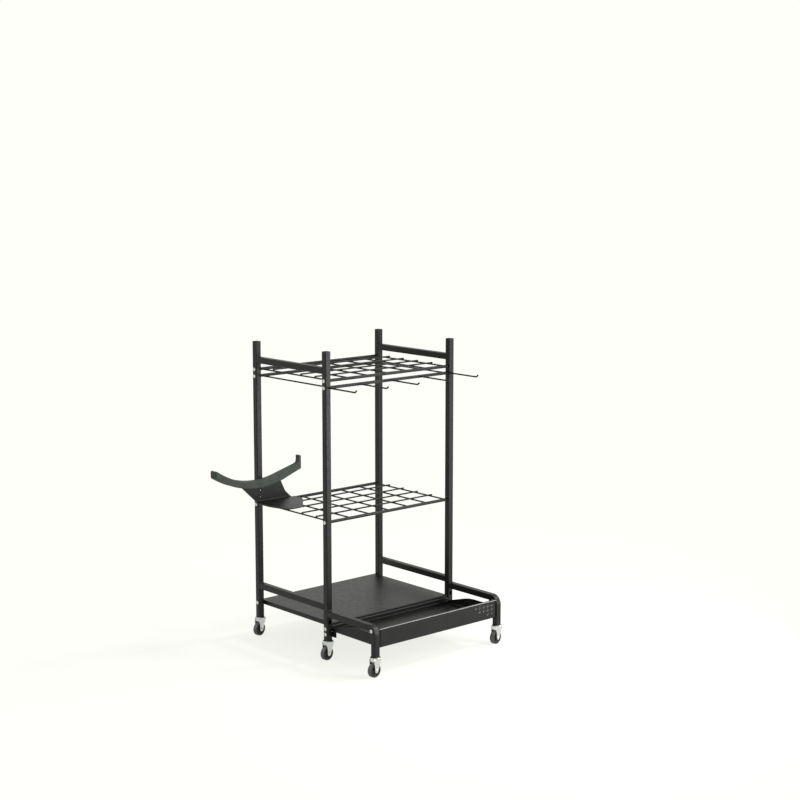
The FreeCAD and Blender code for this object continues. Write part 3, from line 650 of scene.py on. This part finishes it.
# Wheels: a ribbed nylon body with a hub, a soft tread with rounded shoulders
wheel = {
    "bore": 2.55,
    "bossRadius": 5.8,
    "bossSide": 7.5,
    "bossTaper": 0.7,
    "web": 3.6,
    "recessRadius": 12.0,
    "recessTaper": 0.9,
    "side": 6.5,
    "rim": 13.5,
    "radius": 17.5,
    "shoulder": 2.4,
    "shoulderSteps": 5,
    "ribs": 6,
    "ribThickness": 1.3,
    "ribTop": 5.6,
    "ribSunk": 0.3,
    "ribSoften": 0.3,
    "soften": 0.45,
    "softenSegments": 2,
    "shadeFalloff": 3,  # how soon the painted light of the running face gives way to the painted shade of the sides on the shoulder
    "steps": 48,
    "sharp": 40,
}

# Axles: a rivet with a low domed head at each end, dimpled by the setting tool
rivet = {
    "radius": 2.5,
    "headRadius": 4.0,
    "seat": 9.4,
    "headHeight": 1.2,
    "rim": 0.35,
    "domeSteps": 4,
    "domeStart": 1.6,
    "dimple": 0.5,
    "dimpleRadii": (1.0, 1.3),
    "dimpleBevel": 0.1,
    "steps": 32,
}


def wheelBody():
    boss, recess, web = wheel["bossRadius"], wheel["recessRadius"], wheel["web"]
    upper = [(wheel["bore"], wheel["bossSide"]), (boss - wheel["bossTaper"], wheel["bossSide"])]
    upper += [(boss, web), (recess - wheel["recessTaper"], web)]
    upper += [(recess, wheel["side"]), (wheel["rim"], wheel["side"])]
    bm = spun(mirrored(upper) + upper[:1], wheel["steps"])
    softenEdges(bm, wheel["soften"], wheel["softenSegments"])
    inner = boss - wheel["ribSunk"]
    reach = recess - boss + 2 * wheel["ribSunk"]
    rib = bmesh.new()
    bmesh.ops.create_cube(rib, size=1)
    size = (reach * mm, wheel["ribThickness"] * mm, 2 * wheel["ribTop"] * mm)
    bmesh.ops.scale(rib, vec=size, verts=rib.verts)
    softenEdges(rib, wheel["ribSoften"], wheel["softenSegments"])
    out = Matrix.Translation(((inner + reach / 2) * mm, 0, 0))
    for number in range(wheel["ribs"]):
        stamp(bm, rib, Matrix.Rotation(math.tau * number / wheel["ribs"], 4, "Z") @ out)
    rib.free()
    return bm


def wheelTread():
    side, shoulder = wheel["side"], wheel["shoulder"]
    top, bend = wheel["radius"] - shoulder, side - shoulder
    upper = [(wheel["rim"], side), (top, side)]
    for step in range(1, wheel["shoulderSteps"] + 1):
        turn = math.radians(90 * step / wheel["shoulderSteps"])
        upper.append((top + shoulder * math.sin(turn), bend + shoulder * math.cos(turn)))
    bm = spun(mirrored(upper) + upper[:1], 2 * wheel["steps"])
    # painted light: 1 on the running face, falling to 0 on the sides, which take the dark side colour as
    # painted shade
    paintedLightLayer = bm.faces.layers.float.new("painted_light")
    for face in bm.faces:
        face[paintedLightLayer] = face.normal.xy.length ** wheel["shadeFalloff"]
    return bm


def axleRivet():
    seat, top = rivet["seat"], rivet["seat"] + rivet["headHeight"]
    head, start, (flat, wide) = rivet["headRadius"], rivet["domeStart"], rivet["dimpleRadii"]
    floor = top - rivet["dimple"]
    upper = [(0, floor), (flat, floor), (wide, top - rivet["dimpleBevel"])]
    for step in range(rivet["domeSteps"] + 1):
        share = step / rivet["domeSteps"]
        fall = (rivet["headHeight"] - rivet["rim"]) * share * share
        upper.append((start + (head - start) * share, top - fall))
    upper += [(head, seat), (rivet["radius"], seat)]
    return spun(mirrored(upper), rivet["steps"])


def makeWheels():
    shapes = {"wheel": wheelBody(), "tyre": wheelTread(), "axle": axleRivet()}
    slotNames = {"wheel": "wheel_plastic", "tyre": "tread", "axle": "zinc_plate"}
    for joint in frame["joints"]:
        if not joint["name"].endswith("_roll"):
            continue
        caster = joint["name"].removesuffix("_roll")
        place = placed(Vector(joint["pos_m"]), Vector(joint["axis"]))
        for part, shape in shapes.items():
            bm = bmesh.new()
            stamp(bm, shape, place)
            body = joint["parent"] if part == "axle" else joint["child"]
            nodeName = caster + "_" + part
            newPiece(nodeName + "_detailed", bm, slotNames[part], body, (nodeName,), wheel["sharp"])
    for shape in shapes.values():
        shape.free()


makeScrews()
makeCaps()
print("screws and caps made")
makeTray()
makeEasedSheets()
makePad()
print("tray, bracket, shelf and pad made")
makeTubeWelds()
makeWireWelds()
print("welds made")
makeWheels()
print("wheels made")


# The studio: a pale floor that runs on into the backdrop, soft daylight all round, a soft
# sun from the right and one tall panel in front on the right
studio = {
    "background": "#fefff9",
    "skyStrength": 0.5,
    "floor": "#9c9d99",
    "floorReach": 60.0,
    "floorGlow": 0.8,  # lifts the floor to the backdrop and leaves a faint shadow
    "sunStrength": 0.95,
    "sunSoftness": 12,
    "sunFrom": (70, 46),  # degrees round from the front to the right, and up
    "panelStrength": 8.0,
    "panelPlace": (0.66, -0.96, 0.52),
    "panelSize": (0.36, 0.8),
    "panelAim": (-0.13, -0.05),
}


def seenRays(tree):
    # 1 for a ray from the camera or a mirroring or clear surface, which sees the backdrop, else 0
    rays = addNode(tree, "LightPath").outputs
    seen = rays["Is Camera Ray"]
    for kind in ("Is Glossy Ray", "Is Transmission Ray"):
        seen = addNode(tree, "Math", {"operation": "MAXIMUM"}, {0: seen, 1: rays[kind]}).outputs[0]
    return seen


def makeWorld():
    world = bpy.data.worlds.new("paleStudio")
    bpy.context.scene.world = world
    world.use_nodes = True
    tree = world.node_tree
    tree.nodes.clear()
    light = addNode(tree, "Background", {"Strength": studio["skyStrength"]})
    shown = addNode(tree, "Background", {"Color": toLinear(studio["background"]), "Strength": 1.0})
    ends = {0: seenRays(tree), 1: light.outputs[0], 2: shown.outputs[0]}
    both = addNode(tree, "MixShader", {}, ends)
    addNode(tree, "OutputWorld", {}, {"Surface": both.outputs[0]})


def makeFloor():
    bm = bmesh.new()
    bmesh.ops.create_grid(bm, x_segments=1, y_segments=1, size=studio["floorReach"])
    mesh = bpy.data.meshes.new("studioFloor")
    bm.to_mesh(mesh)
    bm.free()
    floor = bpy.data.objects.new("studioFloor", mesh)
    bpy.context.scene.collection.objects.link(floor)
    material = bpy.data.materials.new("paleFloor")
    material.use_nodes = True
    tree = material.node_tree
    tree.nodes.clear()
    glow = addNode(tree, "Math", {"operation": "MULTIPLY", 1: studio["floorGlow"]}, {0: seenRays(tree)})
    matt = addNode(tree, "BsdfDiffuse", {"Color": toLinear(studio["floor"])})
    lit = {"Color": toLinear(studio["background"])}
    glowing = addNode(tree, "Emission", lit, {"Strength": glow.outputs[0]})
    both = addNode(tree, "AddShader", {}, {0: matt.outputs[0], 1: glowing.outputs[0]})
    addNode(tree, "OutputMaterial", {}, {"Surface": both.outputs[0]})
    mesh.materials.append(material)


def addLight(name, kind, strength, source):
    # a light shines along its own -Z, so its Z points to where the light comes from
    light = bpy.data.objects.new(name, bpy.data.lights.new(name, kind))
    light.data.energy = strength
    light.rotation_euler = source.to_track_quat("Z", "Y").to_euler()
    bpy.context.scene.collection.objects.link(light)
    return light


def makeLights():
    around, up = (math.radians(angle) for angle in studio["sunFrom"])
    toSun = Vector((math.sin(around) * math.cos(up), -math.cos(around) * math.cos(up), math.sin(up)))
    sun = addLight("studioSun", "SUN", studio["sunStrength"], toSun)
    sun.data.angle = math.radians(studio["sunSoftness"])

    place = Vector(studio["panelPlace"])
    toPanel = place - Vector((*studio["panelAim"], place.z))
    panel = addLight("rightPanel", "AREA", studio["panelStrength"], toPanel)
    panel.data.shape = "RECTANGLE"
    panel.data.size, panel.data.size_y = studio["panelSize"]
    panel.location = place


# The camera stands where the photograph was taken from: front left, a little above the top
camera = {
    "lens": 74.84,
    "sensor": 36,
    "farthest": 200,
    "place": Vector((-2665.7, -3183.45, 1287.9)) * mm,
    "heading": 41.488,  # degrees from +Y towards +X
    "pitch": 8.888,  # degrees down
}


def makeCamera():
    lens = bpy.data.cameras.new("productCamera")
    lens.lens = camera["lens"]
    lens.sensor_width = camera["sensor"]
    lens.clip_end = camera["farthest"]
    eye = bpy.data.objects.new("productCamera", lens)
    eye.location = camera["place"]
    eye.rotation_euler = (math.radians(90 - camera["pitch"]), 0, math.radians(-camera["heading"]))
    bpy.context.scene.collection.objects.link(eye)
    bpy.context.scene.camera = eye


makeWorld()
makeFloor()
makeLights()
makeCamera()
bpy.context.scene.view_settings.view_transform = "Standard"
print("studio and camera set")
